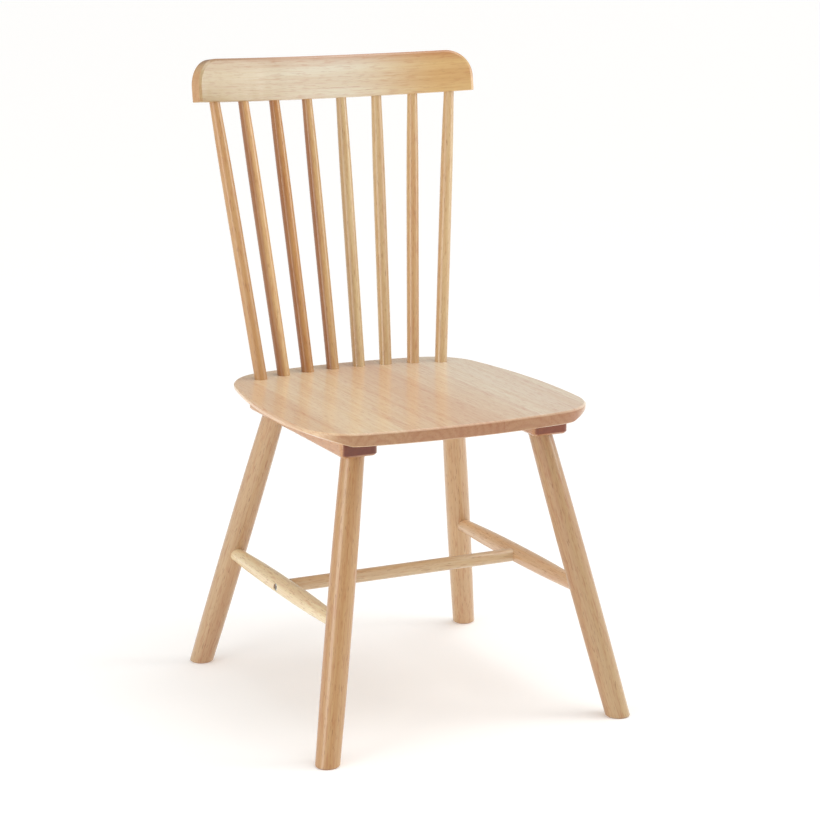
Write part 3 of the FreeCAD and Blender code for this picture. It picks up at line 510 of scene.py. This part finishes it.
# Wood whose grain follows the bend of the rail
def dressCrest():
    low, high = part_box("crest_rail")
    tilt = math.radians(crestLook["tilt"])
    radius = crestLook["bendRadius"]
    material = emptyMaterial("crest rail wood")
    tree = material.node_tree
    coordinates = addNode(tree, "ShaderNodeTexCoord").outputs
    mapping = addNode(tree, "ShaderNodeMapping", {
        "Vector": coordinates["Object"],
        "Location": (0, high.y, low.z),
        "Rotation": (-tilt, 0, 0),
    }, vector_type="TEXTURE")
    parts = addNode(tree, "ShaderNodeSeparateXYZ", {0: mapping.outputs["Vector"]}).outputs
    outward = maths(tree, "ADD", parts["Y"], radius)
    angle = maths(tree, "ARCTAN2", parts["X"], outward)
    along = maths(tree, "MULTIPLY", angle, radius)
    flat = addNode(tree, "ShaderNodeCombineXYZ", {"X": parts["X"], "Y": outward})
    away = vectorMaths(tree, "LENGTH", flat.outputs["Vector"])
    bent = addNode(tree, "ShaderNodeCombineXYZ", {"X": away, "Y": parts["Z"], "Z": along})
    place = bent.outputs["Vector"]
    facing = facingGrain(tree, coordinates["Normal"], angle, tilt)
    end = rise(tree, facing, *crestLook["endGrain"])
    end = maths(tree, "MULTIPLY", end, crestLook["endStrength"])
    # Painted shade: the top of the rail turns warmer and darker, through the warm stain
    wander = grainNoise(tree, place, *crestLook["shadedTopPattern"])
    shadeLevel = maths(tree, "MULTIPLY_ADD", wander, crestLook["shadedTopWander"], parts["Z"])
    warmthAndShade = maths(tree, "MULTIPLY", rise(tree, shadeLevel, *crestLook["shadedTop"]), crestLook["topShade"])
    # Painted light and shade: the rail paler in its middle, darker towards its ends and most orange at
    # the right
    leftLightShadePart = rise(tree, along, *crestLook["leftLightShadePart"])
    rightLightShadePart = rise(tree, along, *crestLook["rightLightShadePart"])
    tint = mixColour(tree, leftLightShadePart, crestLook["leftLightShadeTint"], crestLook["middleLightShadeTint"])
    tint = mixColour(tree, rightLightShadePart, tint, crestLook["rightLightShadeTint"])
    tint = mixColour(tree, end, tint, crestLook["endTint"])
    finishWood(material, {
        "Place": place,
        "End": end,
        "WarmthAndShade": warmthAndShade,
        "Flecks": crestLook["flecks"],
        "Contrast": crestLook["contrast"],
        "Tint": tint,
    })
    setMaterial("crest_rail", material)
    softenEdges("crest_rail", crestLook["edge"])


dressCrest()


# Fasteners

zincLook = {
    "colour": screenColour(222, 229, 236),
    "shade": screenColour(190, 204, 216),
    "mottle": 900.0,             # cycles per metre
    "mottleDetail": 3.0,
    "roughness": 0.22,
    "roughnessSpread": 0.25,
    "depth": 0.00002,
    "relief": 0.4,
}


def makeZinc():
    material = emptyMaterial("zinc")
    tree = material.node_tree
    mottle = addNode(tree, "ShaderNodeTexNoise", {
        "Vector": addNode(tree, "ShaderNodeTexCoord").outputs["Object"],
        "Scale": zincLook["mottle"],
        "Detail": zincLook["mottleDetail"],
    }).outputs["Fac"]
    spread = zincLook["roughnessSpread"]
    bump = addNode(tree, "ShaderNodeBump", {
        "Height": mottle,
        "Distance": zincLook["depth"],
        "Strength": zincLook["relief"],
    })
    shader = addNode(tree, "ShaderNodeBsdfPrincipled", {
        "Base Color": mixColour(tree, mottle, zincLook["colour"], zincLook["shade"]),
        "Roughness": maths(tree, "MULTIPLY_ADD", mottle, spread, zincLook["roughness"]),
        "Normal": bump.outputs["Normal"],
        "Metallic": 1.0,
    })
    addNode(tree, "ShaderNodeOutputMaterial", {"Surface": shader.outputs["BSDF"]})
    return material


screwLook = {
    "fromMiddle": 0.075,         # middle of the batten to a screw
    "sides": 24,
    "socket": 0.0021,            # half width of the hexagon socket over its corners
    # radius and depth below the batten of each ring of the dome
    "dome": ((0.0043, 0.0), (0.0043, 0.0006), (0.0040, 0.0014), (0.0033, 0.0019)),
    # depth below the batten of the socket's mouth and its floor
    "socketDepths": (0.0021, 0.0007),
}


# Distance from the middle to the edge of a hexagon in a given direction
def hexagonReach(corner, angle):
    sixth = math.pi / 3
    return corner * math.cos(sixth / 2) / math.cos(angle % sixth - sixth / 2)


# Domed screw head that hangs under a batten, closed at the top and at the socket's floor
def addScrewHead(mesh, x, y, z):
    sides = screwLook["sides"]
    angles = [2 * math.pi * number / sides for number in range(sides)]
    socket = [hexagonReach(screwLook["socket"], angle) for angle in angles]
    outlines = [([radius] * sides, depth) for radius, depth in screwLook["dome"]]
    outlines += [(socket, depth) for depth in screwLook["socketDepths"]]
    rings = []
    for reaches, depth in outlines:
        rings.append([
            mesh.verts.new((x + reach * math.cos(angle), y + reach * math.sin(angle), z - depth))
            for reach, angle in zip(reaches, angles)
        ])
    for upper, lower in zip(rings, rings[1:]):
        for number in range(sides):
            after = (number + 1) % sides
            mesh.faces.new((upper[after], upper[number], lower[number], lower[after]))
    mesh.faces.new(rings[0])
    mesh.faces.new(reversed(rings[-1]))


def makeBattenScrews(material):
    built = bmesh.new()
    for node in battenLook["ends"]:
        low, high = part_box(node)
        x = (low[0] + high[0]) / 2
        middle = (low[1] + high[1]) / 2
        for side in (-1, 1):
            addScrewHead(built, x, middle + side * screwLook["fromMiddle"], low[2])
    mesh = bpy.data.meshes.new("batten_screws")
    built.to_mesh(mesh)
    built.free()
    mesh.materials.append(material)
    screws = addObject("batten_screws", mesh)
    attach(screws, "root")


zinc = makeZinc()
setMaterial("stretcher_bolts", zinc)
makeBattenScrews(zinc)
print("crest rail and fasteners done")


# Floor, light and camera

floorLook = {
    "size": 60.0,
    "glow": 0.18,                # a lit sweep under and behind the object
    "roughness": 0.8,
    "colour": screenColour(244, 243, 241),
}


def makeFloor():
    half = floorLook["size"] / 2
    mesh = bpy.data.meshes.new("floor")
    corners = [(-half, -half, 0), (half, -half, 0), (half, half, 0), (-half, half, 0)]
    mesh.from_pydata(corners, [], [(0, 1, 2, 3)])
    floor = addObject("floor", mesh)
    material = emptyMaterial("floor")
    tree = material.node_tree
    shader = addNode(tree, "ShaderNodeBsdfPrincipled", {
        "Base Color": floorLook["colour"],
        "Roughness": floorLook["roughness"],
        "Emission Color": (1, 1, 1, 1),
        "Emission Strength": floorLook["glow"],
    })
    addNode(tree, "ShaderNodeOutputMaterial", {"Surface": shader.outputs["BSDF"]})
    mesh.materials.append(material)


# Name, place, aim, width and power in watts of each round lamp
lamps = (
    ("right", (2.6, -1.3, 1.4), (0, 0, 0.6), 1.4, 20),
    ("left", (-2.9, -1.0, 1.0), (0, 0, 0.3), 1.6, 20),
)


def makeLamp(name, place, aim, size, power):
    data = bpy.data.lights.new(name, "AREA")
    data.shape = "DISK"
    data.size = size
    data.energy = power
    lamp = addObject(name, data)
    lamp.location = place
    lamp.rotation_euler = (Vector(place) - Vector(aim)).to_track_quat("Z", "Y").to_euler()


sun = {
    "from": (0.5, -0.35, 2.2),
    "spread": 40,                # degrees; wide for soft shadows
    "strength": 0.9,
}


def makeSun():
    data = bpy.data.lights.new("sun", "SUN")
    data.energy = sun["strength"]
    data.angle = math.radians(sun["spread"])
    light = addObject("sun", data)
    light.rotation_euler = Vector(sun["from"]).to_track_quat("Z", "Y").to_euler()


# Light tent: bright at both sides and above, dimmer in front and behind
tent = {
    "front": 0.24,
    "side": 0.75,
    "top": 0.45,
}


def makeWorld():
    world = bpy.data.worlds.new("studio")
    world.use_nodes = True
    tree = world.node_tree
    direction = addNode(tree, "ShaderNodeTexCoord").outputs["Generated"]
    parts = addNode(tree, "ShaderNodeSeparateXYZ", {0: direction}).outputs
    fromSide = maths(tree, "MULTIPLY", maths(tree, "POWER", parts["X"], 2.0), tent["side"])
    fromTop = maths(tree, "MULTIPLY", maths(tree, "POWER", parts["Z"], 2.0), tent["top"])
    strength = maths(tree, "ADD", maths(tree, "ADD", fromSide, fromTop), tent["front"])
    background = tree.nodes["Background"]
    tree.links.new(strength, background.inputs["Strength"])
    background.inputs["Color"].default_value = (1, 1, 1, 1)
    bpy.context.scene.world = world


# Fitted to the photograph
camera = {
    "place": (-1.41985, -3.00295, 1.17735),
    "azimuth": -25.623,          # degrees
    "elevation": 12.989,         # degrees
    "lens": 104.97,              # millimetres
    "sensor": 36,                # its width in millimetres
}


def makeCamera():
    data = bpy.data.cameras.new("camera")
    data.sensor_width = camera["sensor"]
    data.lens = camera["lens"]
    seen = addObject("camera", data)
    azimuth = math.radians(camera["azimuth"])
    elevation = math.radians(camera["elevation"])
    back = Vector((math.sin(azimuth) * math.cos(elevation),
                   -math.cos(azimuth) * math.cos(elevation),
                   math.sin(elevation)))
    seen.location = camera["place"]
    seen.rotation_euler = back.to_track_quat("Z", "Y").to_euler()
    bpy.context.scene.camera = seen


makeFloor()
makeSun()
for lamp in lamps:
    makeLamp(*lamp)
makeWorld()
makeCamera()
bpy.context.scene.view_settings.view_transform = "Standard"
print("floor, light and camera done")
